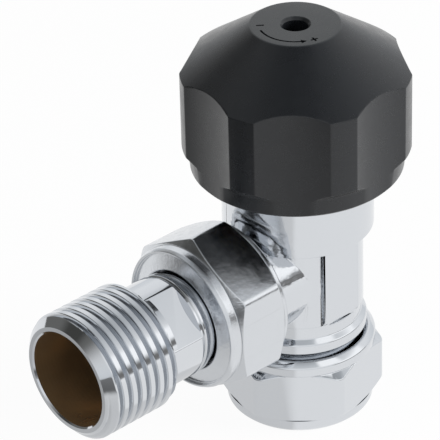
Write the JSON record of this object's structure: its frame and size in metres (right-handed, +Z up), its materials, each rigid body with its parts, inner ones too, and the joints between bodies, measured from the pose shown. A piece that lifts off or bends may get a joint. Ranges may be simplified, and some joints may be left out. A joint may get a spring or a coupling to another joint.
{
  "type": "angle radiator valve",
  "caption": "Manual angle radiator valve with a scooped handwheel, a compression pipe joint below and a threaded union tail at the side.",
  "frame": {"origin": "on the valve's axis, at the middle of the pipe's way in, level with the compression nut's lower face", "axes": "+Z up the valve's axis to the handwheel, -X out along the tail to the radiator, +Y across, to complete a right-handed set"},
  "size_m": [0.068, 0.0361, 0.0696],
  "materials": {
    "chrome_plate": "bright chrome plate on forged and turned brass",
    "brass": "turned brass, unplated",
    "spring_steel": "plain spring steel wire and zinc-plated screw",
    "black_rubber": "moulded black rubber",
    "red_fibre": "punched red vulcanised fibre",
    "white_plastic": "plain white low-friction plastic",
    "black_plastic": "moulded black plastic with a satin surface"
  },
  "bodies": {
    "body": {"valve_body": "chrome_plate", "bonnet": "brass", "bonnet_washer": "red_fibre", "gland_nut": "brass", "thrust_washer": "white_plastic"},
    "wheel": {"handwheel": "black_plastic", "handwheel_screw": "spring_steel", "spindle": "brass", "spindle_o_ring_upper": "black_rubber", "spindle_o_ring_lower": "black_rubber"},
    "plug": {"valve_plug": "brass", "seat_washer": "black_rubber", "washer_plate": "brass", "washer_screw": "brass"},
    "tail": {"tail_piece": "chrome_plate", "snap_ring": "spring_steel", "tail_o_ring": "black_rubber"},
    "union_nut": {"union_nut": "chrome_plate"},
    "olive": {"olive": "brass"},
    "compression_nut": {"compression_nut": "chrome_plate"}
  },
  "joints": [
    {"name": "handwheel_turn", "type": "hinge", "parent": "body", "child": "wheel", "pos_m": [0, 0, 0.05], "axis": [0, 0, 1], "range_deg": [0, 792]},
    {"name": "plug_lift", "type": "slide", "parent": "body", "child": "plug", "axis": [0, 0, 1], "range_m": [0, 0.0033]},
    {"name": "tail_draw", "type": "slide", "parent": "body", "child": "tail", "axis": [-1, 0, 0], "range_m": [0, 0.0045]},
    {"name": "union_nut_turn", "type": "hinge", "parent": "tail", "child": "union_nut", "pos_m": [-0.02, 0, 0.0266], "axis": [-1, 0, 0], "range_deg": [0, 1080]},
    {"name": "olive_travel", "type": "slide", "parent": "body", "child": "olive", "axis": [0, 0, -1], "range_m": [0, 0.0045]},
    {"name": "compression_nut_turn", "type": "hinge", "parent": "olive", "child": "compression_nut", "pos_m": [0, 0, 0], "axis": [0, 0, -1], "range_deg": [0, 1080]}
  ],
  "couplings": [
    {"joint": "plug_lift", "follows": "handwheel_turn", "m_per_rad": 0.0002387},
    {"joint": "union_nut_turn", "follows": "tail_draw", "rad_per_m": 4188.8},
    {"joint": "olive_travel", "follows": "compression_nut_turn", "m_per_rad": 0.0002387}
  ]
}
